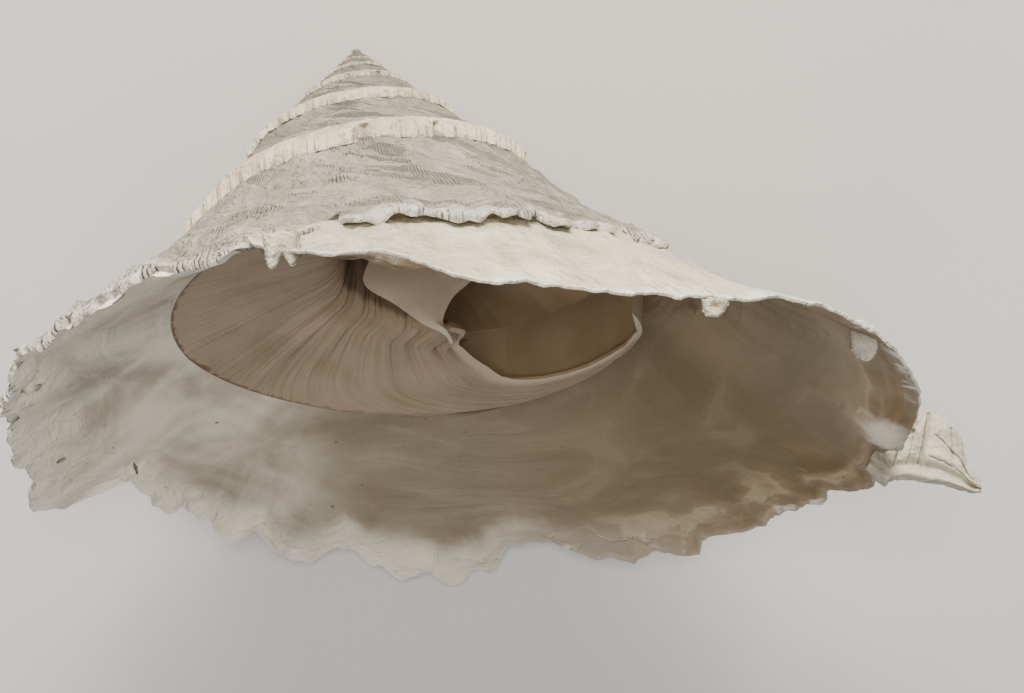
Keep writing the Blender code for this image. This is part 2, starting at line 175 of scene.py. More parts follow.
def roofAt(turn, share):   # upper surface, from the suture (0) to the rim (1)
    (r0, d0), (r1, d1) = sutureAt(turn), rimAt(turn)
    sag = (spiral["sag"] * (r1 - r0) * 4.0 * share * (1.0 - share)
           * (2.0 - 1.3 * ease((turn + 0.1) / 0.2)))
    lumps = grain(turn * 9.0, share * 3.0, 7.7) * 1.1 * sizeAt(turn)
    reach = lobeAt(turn, share)
    drop = d0 + (d1 - d0) * share + sag + lumps * share * (1.0 - share) * 2.0
    return r0 + (r1 - r0) * share + reach, drop + reach * spiral["lobeSlope"] + curlAt(turn, share)


def seamAt(turn):
    return (spiral["seamRadius"] * sizeAt(turn) - along(spiral["seamDrawnIn"], turn, 1),
            spiral["seamDrop"] * sizeAt(turn) + softAlong(spiral["rimHang"], turn) * 0.4
            - along(spiral["seamDrawnIn"], turn, 2))


def seamShare(turn):
    r0, r1 = sutureAt(turn)[0], rimAt(turn)[0]
    return np.clip((seamAt(turn)[0] - r0) / np.maximum(1.0, r1 - r0), 0.03, 0.5)


def underAt(turn, share):   # lower surface: thick behind the lip, thin at its edge
    r, top = roofAt(turn, share)
    (rimR, rimD), (seamR, seamD) = rimAt(turn), seamAt(turn)
    reach = lobeAt(turn, share)
    ledge = (1.2 * grain(turn * 110.0, 41.0) - 0.7) * ease((-0.69 - turn) / 0.03)
    deep = spiral["edge"] + ledge - spiral["lipThinned"] * ease(turn / 0.03)
    edge = rimD + deep
    thin = top + deep + (spiral["wall"] - spiral["edge"]) * (1.0 - share)
    slope = (edge - seamD) / np.maximum(8.0, rimR - seamR)
    full = edge - slope * (rimR - r + reach) + reach * spiral["lobeSlope"] + curlAt(turn, share)
    full = np.where(share < seamShare(turn) - 0.001, thin, full)
    return r, np.maximum(thin, thin + (full - thin) * ease((0.05 - turn) / 0.30))


def atTurn(turn, radius, drop):
    angle = -2.0 * math.pi * turn
    return np.stack(np.broadcast_arrays(radius * np.cos(angle), radius * np.sin(angle), -drop),
                    axis=-1)


def grownSheet(name, points, chart, slotOf, capSlot=3):
    # A grid at the given points. chart is its UV map, and slotOf gives each face its finish.
    # Open ends are closed with capSlot's finish.
    rows, cols = points.shape[:2]
    deselectAll()
    bpy.ops.mesh.primitive_grid_add(x_subdivisions=cols - 1, y_subdivisions=rows - 1, size=1.0)
    made = bpy.context.object
    made.name = name
    mesh = made.data
    flat = np.empty(rows * cols * 3)
    mesh.vertices.foreach_get("co", flat)
    flat = flat.reshape(-1, 3)
    col = np.rint((flat[:, 0] + 0.5) * (cols - 1)).astype(int)
    row = np.rint((flat[:, 1] + 0.5) * (rows - 1)).astype(int)
    mesh.vertices.foreach_set("co", toRoom(points[row, col]).ravel())
    corner = np.empty(len(mesh.loops), dtype=int)
    mesh.loops.foreach_get("vertex_index", corner)
    mesh.uv_layers[0].name = "growth"
    mesh.uv_layers[0].data.foreach_set("uv", chart[row[corner], col[corner]].ravel())
    middle = chart[row[corner], col[corner]].reshape(-1, 4, 2).mean(axis=1)
    for finish in shellFinishes:
        mesh.materials.append(finish)
    mesh.polygons.foreach_set("material_index", slotOf(middle[:, 0], middle[:, 1]).astype(int))
    mesh.update()
    bpy.ops.object.mode_set(mode="EDIT")
    bpy.ops.mesh.select_all(action="SELECT")
    bpy.ops.mesh.remove_doubles(threshold=1e-6)
    bpy.ops.mesh.select_all(action="DESELECT")
    bpy.ops.mesh.select_mode(type="EDGE")
    bpy.ops.mesh.select_non_manifold(extend=False, use_wire=False, use_multi_face=False,
                                     use_non_contiguous=False, use_verts=False)
    bpy.ops.mesh.fill_holes(sides=0)
    made.active_material_index = capSlot
    bpy.ops.object.material_slot_assign()
    bpy.ops.mesh.select_all(action="SELECT")
    bpy.ops.mesh.normals_make_consistent(inside=False)
    bpy.ops.object.mode_set(mode="OBJECT")
    return made


def merge(made, others, operation="UNION"):
    for other in others:
        deselectAll()
        bpy.context.view_layer.objects.active = made
        made.select_set(True)
        change = made.modifiers.new("merge", "BOOLEAN")
        change.operation, change.solver, change.object = operation, "MANIFOLD", other
        bpy.ops.object.modifier_apply(modifier=change.name)
        bpy.data.objects.remove(other)
    return made


class Wire:   # one output socket; arithmetic on it adds Math nodes
    def __init__(self, graph, socket):
        self.graph, self.socket = graph, socket

    def calc(self, operation, *values):
        return self.graph.node("ShaderNodeMath", {"operation": operation}, dict(enumerate(values)))

    def __add__(self, other):
        return self.calc("ADD", self, other)

    def __sub__(self, other):
        return self.calc("SUBTRACT", self, other)

    def __rsub__(self, other):
        return self.calc("SUBTRACT", other, self)

    def __mul__(self, other):
        return self.calc("MULTIPLY", self, other)

    __radd__, __rmul__ = __add__, __mul__

    def sine(self):
        return self.calc("SINE", self)

class Finish:   # a material and the nodes that make it
    def __init__(self, name):
        self.material = bpy.data.materials.new(name)
        self.material.use_nodes = True
        self.tree = self.material.node_tree
        self.shader = self.tree.nodes["Principled BSDF"]
        chart = self.node("ShaderNodeUVMap", {"uv_map": "growth"}, {})
        parts = self.node("ShaderNodeSeparateXYZ", {}, {"Vector": chart}, None)
        self.turn, self.share = self.out(parts, 0), self.out(parts, 1)
        self.room = self.node("ShaderNodeTexCoord", {}, {}, "Object")

    def node(self, kind, settings, values, output=0):
        made = self.tree.nodes.new(kind)
        for key, value in settings.items():
            if key == "stops":
                self.setStops(made.color_ramp, value)
            else:
                setattr(made, key, value)
        for key, value in values.items():
            self.feed(made.inputs[key], value)
        return made if output is None else self.out(made, output)

    def out(self, made, key):
        return Wire(self, made.outputs[key])

    def feed(self, socket, value):
        if isinstance(value, Wire):
            self.tree.links.new(value.socket, socket)
        else:
            socket.default_value = value

    def setStops(self, ramp, stops):
        while len(ramp.elements) < len(stops):
            ramp.elements.new(0.5)
        for element, (place, shade) in zip(ramp.elements, stops):
            element.position = place
            element.color = (*shade, 1.0)

    def ramp(self, value, stops):
        return self.node("ShaderNodeValToRGB", {"stops": stops}, {"Fac": value})

    def between(self, value, low, high):   # 0 below low, 1 above high, eased between them
        return self.node("ShaderNodeMapRange", {"interpolation_type": "SMOOTHSTEP"},
                         {"Value": value, "From Min": low, "From Max": high})

    def noise(self, vector, scale, detail=3.0, roughness=0.55, distortion=0.0):
        values = {"Vector": vector, "Scale": scale, "Detail": detail, "Roughness": roughness,
                  "Distortion": distortion}
        return self.node("ShaderNodeTexNoise", {}, values)

    def creases(self, low, high):   # 0 on flat and raised places, 1 in hollows
        return self.between(self.node("ShaderNodeNewGeometry", {}, {}, "Pointiness"), low, high)

    def awayFrom(self, place):
        values = {0: self.room, 1: place}
        return self.node("ShaderNodeVectorMath", {"operation": "DISTANCE"}, values, "Value")

    def stretch(self, x, y, z=0.0):
        return self.node("ShaderNodeCombineXYZ", {}, {"X": x, "Y": y, "Z": z})

    def blend(self, factor, first, second):
        made = self.node("ShaderNodeMix", {"data_type": "RGBA"}, {"Factor": factor}, None)
        self.feed(made.inputs[6], self.colour(first))
        self.feed(made.inputs[7], self.colour(second))
        return self.out(made, 2)

    def colour(self, value):
        return value if isinstance(value, Wire) else (*value, 1.0)

    def finish(self, colour, roughness, height, depth, gloss):
        self.feed(self.shader.inputs["Base Color"], colour)
        self.feed(self.shader.inputs["Roughness"], roughness)
        self.shader.inputs["Specular IOR Level"].default_value = gloss
        values = {"Height": height, "Strength": 1.0, "Distance": depth}
        self.feed(self.shader.inputs["Normal"], self.node("ShaderNodeBump", {}, values))
        return self.material


chalk = {"low": (0.27, 0.245, 0.195), "mid": (0.40, 0.375, 0.305), "high": (0.57, 0.54, 0.45),
         "cream": (0.62, 0.555, 0.41),
         "stain": (0.26, 0.19, 0.11), "bandsPerTurn": 15.0, "bandSlope": 0.24,
         "ribletsPerTurn": 430.0}


def makeChalk():   # the weathered upper side: oblique growth bands crossed by short riblets
    f = Finish("chalkTop")
    turn, share, room = f.turn, f.share, f.room
    cloud = f.noise(room, 60.0, 4.0, 0.6)
    patch = f.noise(room, 130.0, 4.0, 0.6)
    worn = f.noise(room, 260.0, 5.0, 0.7)
    grit = f.noise(room, 1300.0, 4.0, 0.7)
    phase = turn + share * chalk["bandSlope"] + patch * 0.035
    lines = f.noise(f.stretch(phase * 170.0, share * 4.0), 1.0, 4.0, 0.7, 0.4)
    bands = f.noise(f.stretch(phase * chalk["bandsPerTurn"] * 2.6, share * 3.0), 1.0, 3.0, 0.6)
    bands = f.between(bands + patch * 0.5, 0.76, 0.86)
    riblets = ((turn * (6.2832 * chalk["ribletsPerTurn"])) + worn * 9.0
               + share * 20.0).sine() * 0.5 + 0.5
    tone = f.ramp(lines * 0.35 + worn * 0.4 + patch * 0.25,
                  [(0.37, chalk["low"]), (0.50, chalk["mid"]), (0.63, chalk["high"])])
    # Painted shade: on the growth bands the troughs between the riblets are darker.
    tone = f.blend(bands * (1.0 - riblets) * 0.22, tone, chalk["low"])
    # Smooth cream on the newest lip and on the outer skirt of each older turn
    lip = f.between(turn + cloud * 0.02, 0.005, 0.045)
    skirt = (f.between(share + worn * 0.10 + patch * 0.12, 0.74, 0.84)
             * f.between(turn * -1.0, 1.02, 1.06))
    smoothPart = f.node("ShaderNodeMath", {"operation": "MAXIMUM"}, {0: lip, 1: skirt})
    streak = f.noise(f.stretch(turn * 90.0, share * 2.0), 1.0, 4.0, 0.6)
    cream = f.ramp(streak * 0.35 + patch * 0.65,
                   [(0.38, (0.45, 0.40, 0.29)), (0.5, chalk["cream"]), (0.62, (0.72, 0.67, 0.54))])
    dusk = f.between(turn + cloud * 0.06, 0.215, 0.275) * f.between(patch, 0.40, 0.56)
    cream = f.blend(dusk * 0.8, cream, chalk["mid"])
    tone = f.blend(smoothPart, tone, cream)
    edge = f.between(share, 0.93, 1.0) * (0.4 + patch) * f.between(turn, -1.02, -0.98)
    tone = f.blend(edge * 0.7, tone, (0.78, 0.75, 0.67))
    stain = (f.between(f.noise(room, 420.0, 5.0, 0.7), 0.60, 0.67) * f.between(cloud, 0.50, 0.60)
             * (1.0 - lip * 0.8))
    tone = f.blend(stain * 0.8, tone, chalk["stain"])
    # Painted shade: the chalk is darker in creases and hollows.
    tone = f.blend(f.creases(0.49, 0.42) * 0.6, tone, chalk["low"])
    height = lines * 0.7 + bands * riblets * 0.6 + worn * 1.1 + grit * 0.30
    ripple = (f.noise(f.stretch(turn * 330.0, share * 5.0), 1.0, 3.0, 0.6)
              * f.between(share, 0.70, 0.98))
    height = f.node("ShaderNodeMix", {"data_type": "FLOAT"},
                    {0: smoothPart, 2: height, 3: streak * 0.25 + worn * 0.65 + patch * 0.5
                     + grit * 0.10 + ripple * 0.40})
    return f.finish(tone, 0.80 - smoothPart * 0.28, height, 0.0023, 0.35)


flange = {"white": (0.86, 0.79, 0.65), "grey": (0.38, 0.335, 0.26), "mid": (0.52, 0.465, 0.365),
          "pale": (0.72, 0.65, 0.53),
          "brown": (0.145, 0.092, 0.038), "warm": (0.195, 0.13, 0.062),
          "pink": (0.255, 0.175, 0.098), "milk": (0.37, 0.285, 0.175),
          "shade": (0.165, 0.122, 0.066), "hollow": (0.25, 0.175, 0.098),
          "knobAt": (86.5, 2.5, -85.0)}


def makeFlange():   # the glossy underside of the flange and the outer lip
    f = Finish("glossyFlange")
    turn, room = f.turn, f.room
    share = 2.0 - f.share   # 1 at the rim, falling inwards
    swirl = f.noise(f.stretch(turn * 9.0, share * 2.6), 1.0, 3.0, 0.5, 2.6)
    rays = f.noise(f.stretch(turn * 30.0, share * 1.6), 1.0, 2.0, 0.45, 0.8)
    cloud = f.noise(room, 42.0, 4.0, 0.55, 0.8)
    patch = f.noise(room, 150.0, 4.0, 0.6, 0.6)
    left = f.between(turn * -1.0 + cloud * 0.10, 0.34, 0.52)
    right = f.between(turn + cloud * 0.16 - 0.08, -0.26, -0.08)
    tone = f.ramp(cloud * 0.6 + swirl * 0.4,
                  [(0.36, flange["grey"]), (0.50, flange["mid"]), (0.66, flange["pale"])])
    tone = f.blend(left * f.between(rays * 0.6 + cloud * 1.2, 0.72, 1.05) * 0.85, tone,
                   flange["white"])
    brown = f.ramp(swirl * 0.7 + cloud * 0.3,
                   [(0.38, flange["brown"]), (0.47, flange["warm"]), (0.53, flange["pink"]),
                    (0.57, flange["milk"]), (0.68, flange["pink"])])
    # Brown towards the mouth end: the flange's own warm colour, made darker there as painted shade
    # under the lip.
    tone = f.blend(right, tone, brown)
    # Partly the flange's own darker tone and partly painted shade: darker inwards of the rim on the
    # newest part of the flange.
    shade = (f.between(turn * -1.0 + cloud * 0.1, 0.44, 0.30)
             * f.between(share + cloud * 0.3, 1.02, 0.84))
    tone = f.blend(shade * 0.75, tone, flange["shade"])
    # Chalky white crust towards the broken rim
    reach = share + rays * 0.20 + patch * 0.16 - 0.18 + left * 0.10
    bare = f.between(turn, -0.250, -0.200) * f.between(patch, 0.66, 0.54)
    crusted = f.between(reach, 0.74, 0.96) * (1.0 - right * 0.9) * (1.0 - bare * 0.9)
    tone = f.blend(crusted * 0.9, tone, flange["white"])
    tip = f.between(share + patch * 0.08, 0.985, 1.03)
    tone = f.blend(tip * (0.8 - bare * 0.7), tone, (0.78, 0.75, 0.68))
    mouthSide = (f.between(turn, 0.14, -0.02) * f.between(share, 0.60, 0.30)
                 * f.between(turn, -0.06, -0.02))
    tone = f.blend(mouthSide, tone, flange["hollow"])
    knob = f.between(f.awayFrom(spotInRoom(flange["knobAt"])) + patch * 0.012, 0.0070, 0.0125)
    tone = f.blend((1.0 - knob) * 0.75, tone, flange["white"])
    behind = f.between(turn * -1.0 + cloud * 0.06, 0.71, 0.79)
    tone = f.blend(behind, tone, brown)
    spots = f.between(f.noise(room, 520.0, 2.0, 0.5), 0.745, 0.765)
    tone = f.blend(spots * 0.8, tone, (0.12, 0.08, 0.05))
    crumbs = f.noise(room, 380.0, 4.0, 0.65)
    height = (rays * 0.3 + cloud * 0.4 + swirl * 0.7 + (patch * 0.9 + crumbs * 0.5) * crusted
              + f.noise(room, 900.0, 3.0) * 0.05)
    return f.finish(tone, 0.34 + crusted * 0.24 + cloud * 0.06, height, 0.0012, 0.35)


base = {"light": (0.43, 0.325, 0.225), "dark": (0.28, 0.20, 0.13), "pink": (0.40, 0.275, 0.215),
        "seam": (0.13, 0.06, 0.03)}


def makeBase():   # the wrinkled base inside the seam
    f = Finish("pinkBase")
    turn, share, room = f.turn, f.share, f.room   # share is 0 at the seam and 1 at the axis
    wrinkle = f.noise(f.stretch(turn * 120.0, share * 1.1), 1.0, 3.0, 0.6, 0.1)
    fineLine = f.noise(f.stretch(turn * 420.0, share * 1.6), 1.0, 2.0, 0.6)
    cloud = f.noise(room, 70.0, 3.0, 0.5)
    tone = f.ramp(wrinkle * 0.4 + cloud * 0.5 + fineLine * 0.1,
                  [(0.38, base["dark"]), (0.5, (0.355, 0.265, 0.18)), (0.62, base["light"])])
    tone = f.blend(f.between(cloud, 0.45, 0.62) * 0.4, tone, base["pink"])
    wander = f.noise(room, 400.0, 4.0, 0.7)
    seam = 1.0 - f.between(share + wander * 0.09, 0.052, 0.066)
    seam = seam * f.between(turn * -1.0 + wander * 0.15, 0.26, 0.50)
    tone = f.blend(seam * 0.85, tone, base["seam"])
    inward = f.between(share, 0.50, 0.64)
    tone = f.blend(inward * 0.75, tone, (0.33, 0.24, 0.15))
    # Painted shade over the brown of the umbilicus: very dark deep in it and along its slit.
    deep = f.between(share, 0.68, 0.84)
    tone = f.blend(deep * 0.92, tone, (0.115, 0.072, 0.034))
    # The edge at the mouth is thin and polished; its paler colour is a painted highlight.
    rim = f.between(turn, -0.150, -0.122) * (1.0 - deep)
    tone = f.blend(rim * 0.75, tone, (0.56, 0.46, 0.34))
    height = (wrinkle * 0.7 + fineLine * 0.25) * (1.0 - rim)
    return f.finish(tone, 0.44 + cloud * 0.1 - rim * 0.12, height, 0.0008, 0.5)


def makeHollow():   # inside the mouth
    f = Finish("brownHollow")
    streak = f.noise(f.stretch(f.turn * 26.0, f.share * 3.0), 1.0, 3.0, 0.5, 0.5)
    cloud = f.noise(f.room, 40.0, 3.0)
    tone = f.ramp(streak * 0.3 + cloud * 0.7,
                  [(0.36, (0.38, 0.27, 0.155)), (0.52, (0.47, 0.35, 0.22)),
                   (0.66, (0.55, 0.44, 0.29))])
    tone = f.blend(f.between(f.turn, -0.14, -0.03), tone, flange["hollow"])
    return f.finish(tone, 0.45, streak * 0.4 + cloud * 0.4, 0.0004, 0.4)


def makeInnerFinish():   # the smooth sheet between the umbilicus and the mouth
    f = Finish("smoothInnerLip")
    cloud, fine = f.noise(f.room, 90.0, 3.0, 0.5), f.noise(f.room, 500.0, 3.0, 0.6)
    tone = f.ramp(cloud * 0.8 + fine * 0.2,
                  [(0.38, (0.47, 0.375, 0.28)), (0.5, (0.53, 0.43, 0.33)),
                   (0.64, (0.60, 0.51, 0.40))])
    return f.finish(tone, 0.36 + cloud * 0.1, cloud * 0.5 + fine * 0.06, 0.0006, 0.5)


shellFinishes = [makeChalk(), makeFlange(), makeBase(), makeHollow(), makeInnerFinish()]
print("finishes made")


flangeForm = {"rowsPerTurn": 540, "topCols": 36, "rimCols": 5, "underCols": 28, "hollowCols": 7,
              "growthRidge": 0.22, "dorsalLump": 0.55, "underFold": 1.0}


def roofRelief(turn, share):   # growth ridges and wear on the upper side, in millimetres
    phase = turn + 0.16 * share
    old = ease((0.02 - turn) / 0.06)
    ridges = (grain(phase * 130.0, share * 5.0, 1.0) * 0.6
              + grain(phase * 300.0, share * 9.0, 4.0) * 0.35)
    lumps = grain(turn * 42.0, share * 7.0, 2.0) * 0.6 + grain(turn * 17.0, share * 4.0, 6.0) * 0.8
    edgeRipple = grain(turn * 190.0, share * 9.0, 5.0) * ease((share - 0.8) / 0.2) * 0.7
    smoothLip = (grain(turn * 30.0, share * 2.5, 9.0) * 1.1
                 + grain(turn * 90.0, share * 3.0, 3.0) * 0.35
                 + grain(turn * 60.0, share * 12.0, 8.0) * 0.35 + edgeRipple)
    fold = ease((turn - 0.215) / 0.02)
    smoothLip = smoothLip + fold * (1.0 - 3.0 * np.abs(grain(turn * 34.0, share * 4.0, 19.0))) * 1.5
    crust = (np.abs(grain(turn * 70.0, share * 12.0, 12.0)) * 0.9
             + np.abs(grain(turn * 160.0, share * 24.0, 14.0)) * 0.5)
    relief = ((ridges * flangeForm["growthRidge"] * 2.0 + lumps * flangeForm["dorsalLump"] + crust)
              * old + smoothLip * (1.0 - old))
    torn = ease((turn + 0.13) / 0.05) * ease((0.15 - turn) / 0.05) * ease((0.36 - share) / 0.14)
    strands = 1.0 - 4.0 * np.abs(grain(share * 26.0 + turn * 14.0, turn * 16.0, 11.0))
    return (relief + strands * 1.1 * torn) * ease(share / 0.10)


def underRelief(turn, share):   # folds that run out to the rim
    left = ease((-0.34 - turn) / 0.14)
    right = ease((turn + 0.26) / 0.12)
    folds = grain(turn * 26.0 + share * 1.3, share * 1.4, 5.0)
    fine = grain(turn * 75.0, share * 2.5, 8.0)
    swell = grain(turn * 9.0, share * 2.2, 3.3)
    outer = ease((share - 0.35) / 0.5)
    size = flangeForm["underFold"]
    pits = np.abs(grain(turn * 42.0, share * 9.0, 13.0))
    crust = 0.5 - 1.9 * pits + 0.6 * grain(turn * 120.0, share * 20.0, 17.0)
    crust = (crust * ease((share - 0.80) / 0.12) * (1.0 - 0.5 * ease((turn + 0.14) / 0.06))
             * ease((0.02 - turn) / 0.03))
    knob = 3.0 * np.exp(-((turn + 0.002) / 0.014) ** 2 - ((share - 0.93) / 0.06) ** 2)
    relief = folds * (0.7 + 1.3 * left + 0.4 * right) * (0.25 + outer)
    relief = relief + fine * (0.20 + 0.45 * left) * outer + swell
    return crust * 1.1 + knob + size * relief


def lastTurn(name, first, last):
    steps = max(2, round((last - first) * flangeForm["rowsPerTurn"]))
    turn = np.linspace(first, last, steps + 1)[:, None]
    topShare = (1.0 - (1.0 - np.linspace(0.0, 1.0, flangeForm["topCols"])) ** 1.25)[None, :]
    met = seamShare(turn)
    out = np.linspace(0.0, 1.0, flangeForm["underCols"])[None, :] ** 0.85
    lowShare = 1.0 - (1.0 - met) * out
    inShare = met * (1.0 - np.linspace(0.0, 1.0, flangeForm["hollowCols"] + 1)[None, 1:])
    topR, topD = roofAt(turn, topShare)
    sunk = np.where(turn < -1.0, 0.5, 0.0)
    top = atTurn(turn, topR - sunk * topShare, topD + sunk)
    lowR, lowD = underAt(turn, lowShare)
    low = atTurn(turn, lowR - sunk * lowShare, lowD - sunk)
    inR, inD = underAt(turn, np.minimum(inShare, met - 0.012))
    inner = atTurn(turn, inR + (sutureAt(turn)[0] - inR) * (inShare <= 0.0), inD - sunk)
    # Rim: a rounded, layered edge between the two sides
    part = np.linspace(0.0, 1.0, flangeForm["rimCols"] + 2)[None, 1:-1, None]
    layered = ease((-0.44 - turn) / 0.08) * ease((turn + 0.74) / 0.06)
    groove = (0.5 + 0.5 * np.sign(grain(turn * 60.0, 2.2))) * layered * 1.6
    bulge = np.sin(np.pi * part) * (0.45 - groove[:, :, None] * 1.2)
    rimPoints = top[:, -1:] * (1.0 - part) + low[:, :1] * part
    radial = atTurn(turn, np.ones_like(turn), np.zeros_like(turn))
    rimPoints = rimPoints + radial * bulge
    loop = np.concatenate([top, rimPoints, low, inner, top[:, :1]], axis=1)
    zero = np.zeros_like(turn)
    # The thin outer part keeps its thickness: both of its sides follow the same folds
    lip = ease((turn + 0.03) / 0.05)
    thin = ease((topShare - 0.40) / 0.20) * (1.0 - lip)
    above = roofRelief(turn, topShare) - underRelief(turn, topShare) * thin
    below = (-underRelief(turn, lowShare) * ease((lowShare - met) / 0.08) * (1.0 - lip)
             + roofRelief(turn, lowShare) * lip)
    within = roofRelief(turn, inShare) * lip
    share = part[:, :, 0]
    relief = np.concatenate([above, above[:, -1:] * (1.0 - share) + below[:, :1] * share, below,
                             within, above[:, :1]], axis=1)
    loop[:, :, 2] += relief
    turns = turn * np.ones((1, loop.shape[1]))
    rimSpot = np.full((len(turn), flangeForm["rimCols"]), 1.0)
    spots = np.concatenate([topShare + zero, rimSpot, 2.0 - lowShare, 2.0 - inShare, zero + 2.0],
                           axis=1)
    chart = np.stack([turns, spots], axis=-1)

    def slotOf(u, v):
        seamSpot = 2.0 - seamShare(u)
        hidden = (v > seamSpot + 0.004) & (u < -0.02)
        ledge = (v < 1.10) & (u < -0.70)
        return np.where((v <= 1.02) | ledge, 0, np.where(hidden, 3, 1))

    return grownSheet(name, loop, chart, slotOf)


shell = lastTurn("shellBody", -0.50, spiral["lipEnd"])
merge(shell, [lastTurn("olderHalf", -1.06, -0.495)])
print("last turn made", len(shell.data.polygons))


baseForm = {"rows": 250, "cols": 40, "thickness": 1.5, "fanStart": -0.42, "wrinkle": 0.32}


umbilicusSlit = {"line": [(-4.5, 5.2), (-1.8, 7.0), (0.6, 7.9), (3.0, 8.2), (5.0, 8.2)],
                 "depth": 3.4, "width": 2.0}


def offLine(places, line):   # how far places lie, seen along the axis, from a line through points
    nearest = np.full(places.shape[:2], 1e9)
    for (ax, ay), (bx, by) in zip(line[:-1], line[1:]):
        dx, dy = bx - ax, by - ay
        t = ((places[:, :, 0] - ax) * dx + (places[:, :, 1] - ay) * dy) / (dx ** 2 + dy ** 2)
        t = np.clip(t, 0.0, 1.0)
        away = np.hypot(places[:, :, 0] - ax - dx * t, places[:, :, 1] - ay - dy * t)
        nearest = np.minimum(nearest, away)
    return nearest


def baseHalf(half):
    first, fan = -1.04, baseForm["fanStart"]
    path = np.linspace(0.0, 1.0, baseForm["cols"])
    radius, drop = [line[None, :] for line in spread(spiral["baseProfile"], path)]
    share = np.clip((radius - 12.0) / 38.2, 0.0, 1.0)
    swing = softAlong(spiral["mouthEdge"], share) - fan
    rows = np.linspace(-1.0, 1.0, baseForm["rows"])[:, None]
    rows = rows[: len(rows) // 2 + 2] if half == 0 else rows[len(rows) // 2:]
    straight = fan + (fan - first) * np.minimum(rows, 0.0)
    bent = np.maximum(rows, 0.0)
    turn = straight + 0.30 * bent + (swing - 0.30) * bent ** 2
    size = sizeAt(turn)
    hang = ((softAlong(spiral["rimHang"], turn) * 0.4 - along(spiral["seamDrawnIn"], turn, 2)
             * share) * share)
    drawn = along(spiral["seamDrawnIn"], turn, 1) * share ** 4
    lowR, lowD = radius * size - drawn, drop * size + hang
    edgeThin = 1.0 - 0.55 * ease((rows - 0.93) / 0.07)
    lift = np.where(path < 0.60, baseForm["thickness"], 0.4)[None, :] * edgeThin
    grow = np.where(path < 0.48, 0.0, 1.4)[None, :] * ease((path - 0.42) / 0.16)[None, :]
    phase = np.where(rows < 0.0, straight, fan + rows * 0.30) + np.zeros_like(turn)
    openPart = ease((path - 0.02) / 0.06)[None, :] * (1.0 - ease((path - 0.62) / 0.1))[None, :]
    near = ease((rows + 0.25) / 0.7) * ease((path - 0.15) / 0.3)[None, :]
    ridged = 0.5 - 2.0 * np.abs(grain(phase * 62.0, path[None, :] * 0.9, 1.5))
    wrinkle = ridged + 0.5 * grain(phase * 150.0, path[None, :] * 1.3, 5.5)
    lowD = lowD - wrinkle * baseForm["wrinkle"] * (0.22 + 3.4 * near) * openPart
    slit = np.exp(-(offLine(atTurn(turn, lowR, lowD),
                            umbilicusSlit["line"]) / umbilicusSlit["width"]) ** 2)
    low = atTurn(turn, lowR, lowD - slit * umbilicusSlit["depth"])
    high = atTurn(turn, lowR + grow, drop * size + hang - lift - slit * umbilicusSlit["depth"])
    if half == 1:   # at the mouth the two sides meet in one thin edge
        high[-1] = low[-1]
    r0, r1 = sutureAt(turn[:, :1])[0], rimAt(turn[:, :1])[0]
    rootR = seamAt(turn[:, :1])[0] + 2.4 * size[:, :1]
    root = atTurn(turn[:, :1], rootR, underAt(turn[:, :1], (rootR - r0) / (r1 - r0))[1] - 0.9)
    loop = np.concatenate([root, low, high[:, ::-1], root], axis=1)
    pathSpot = (np.concatenate([[-0.02], path, 2.0 - path[::-1], [2.02]])[None, :]
                + np.zeros_like(rows))
    # The slit takes the chart's deep part, so the base finish paints its groove dark as shade.
    pathSpot[:, 1:len(path) + 1] = np.maximum(pathSpot[:, 1:len(path) + 1],
                                              np.minimum(0.93, path[None, :] + 0.45 * slit))
    turns = np.concatenate([phase[:, :1], phase, phase[:, ::-1], phase[:, :1]], axis=1)
    chart = np.stack([turns, pathSpot], axis=-1)
    return grownSheet("base%d" % half, loop, chart, lambda u, v: np.where(v < 1.0, 2, 3), capSlot=2)


# Inner lip: the pale sheet between umbilicus and mouth; right, front and down from the apex,
# first along its edge at the umbilicus, then along the mouth
innerLip = {"thickness": 1.5, "bulge": 1.2, "rows": 60, "cols": 26,
            "edges": [(0.5, 3.0, 33.0, 27.0, 8.0, 37.0), (-0.6, 3.0, 42.5, 21.5, 6.5, 46.5),
                      (-2.3, 2.4, 47.8, 16.9, 5.2, 50.6), (2.9, 2.4, 52.4, 13.4, 4.6, 53.2),
                      (7.4, 3.2, 56.9, 11.2, 4.2, 57.2), (10.9, 3.9, 59.6, 12.2, 3.6, 59.2),
                      (12.2, 1.0, 60.9, 12.9, 0.6, 60.6)]}


def makeInnerLip():
    rows = np.linspace(0.0, 1.0, innerLip["rows"])
    edges = np.stack(spread(innerLip["edges"], rows), axis=1)
    left, right = edges[:, :3], edges[:, 3:]
    share = np.linspace(0.0, 1.0, innerLip["cols"])[None, :, None]
    front = left[:, None] * (1.0 - share) + right[:, None] * share
    front[:, :, 1] += innerLip["bulge"] * np.sin(np.pi * share[:, :, 0])
    front = front * np.array([1.0, -1.0, -1.0])
    rounding = 1.0 - 0.65 * (2.0 * share[:, :, 0] - 1.0) ** 6
    back = front.copy()
    back[:, :, 1] += innerLip["thickness"] * rounding * (1.0 - 0.8 * rows[:, None] ** 4)
    loop = np.concatenate([front, back[:, ::-1], front[:, :1]], axis=1)
    spot = np.concatenate([share[0, :, 0], 2.0 - share[0, ::-1, 0], [2.0]])
    chart = np.stack(np.broadcast_arrays(rows[:, None] * 0.1 - 0.1, 0.5 + spot[None, :] * 0.06),
                     axis=-1)
    return grownSheet("innerLip", loop, chart, lambda u, v: np.full_like(u, 4), capSlot=4)


merge(shell, [baseHalf(1), baseHalf(0), makeInnerLip()])
print("base made", len(shell.data.polygons))


